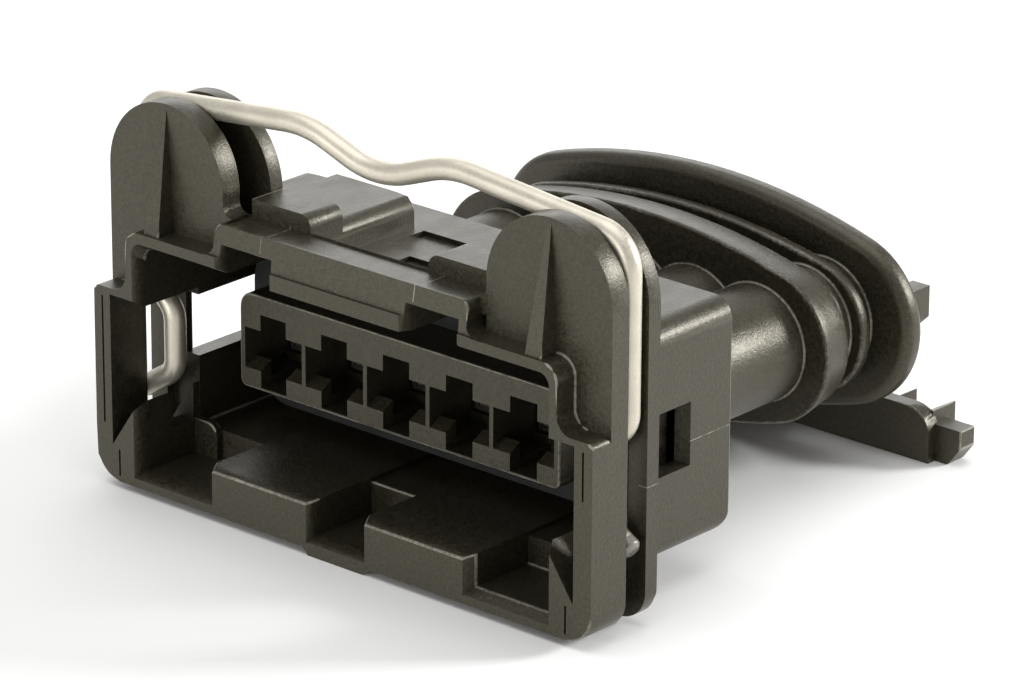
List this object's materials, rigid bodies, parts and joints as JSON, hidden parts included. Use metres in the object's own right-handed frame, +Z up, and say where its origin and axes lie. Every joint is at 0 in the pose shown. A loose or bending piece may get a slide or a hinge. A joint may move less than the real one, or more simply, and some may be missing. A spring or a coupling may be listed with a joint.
{
  "type": "sealed automotive connector",
  "caption": "Sealed plug housing with a keyed shroud, a wire latch between two ears, round rear tubes with oval collars and a toothed cable cradle.",
  "frame": {"origin": "middle of the shroud's rim at the level of the shroud's underside", "axes": "+X to the right seen from the mating face, +Y from the mating face to the wire entry, +Z up towards the wire latch"},
  "size_m": [0.0396, 0.0406, 0.0256],
  "materials": {
    "housing_plastic": "black glass-filled nylon, finely sparked mould surface",
    "spring_wire": "bright drawn spring wire",
    "seal_rubber": "soft silicone rubber",
    "contact_metal": "tin-plated copper alloy",
    "spring_sleeve": "thin stainless strip"
  },
  "bodies": {
    "housing_body": {"connector_housing": "housing_plastic", "interface_seal": "seal_rubber", "contact_1": "contact_metal", "contact_2": "contact_metal", "contact_3": "contact_metal", "contact_4": "contact_metal", "contact_5": "contact_metal", "contact_spring_1": "spring_sleeve", "contact_spring_2": "spring_sleeve", "contact_spring_3": "spring_sleeve", "contact_spring_4": "spring_sleeve", "contact_spring_5": "spring_sleeve", "wire_seal_1": "seal_rubber", "wire_seal_2": "seal_rubber", "wire_seal_3": "seal_rubber", "wire_seal_4": "seal_rubber", "wire_seal_5": "seal_rubber"},
    "wire_body": {"locking_spring": "spring_wire"}
  },
  "joints": [
    {"name": "wire_press", "type": "slide", "parent": "housing_body", "child": "wire_body", "axis": [0, 0, 1], "range_m": [-0.0013, 0], "stiffness_N_per_m": 300}
  ]
}
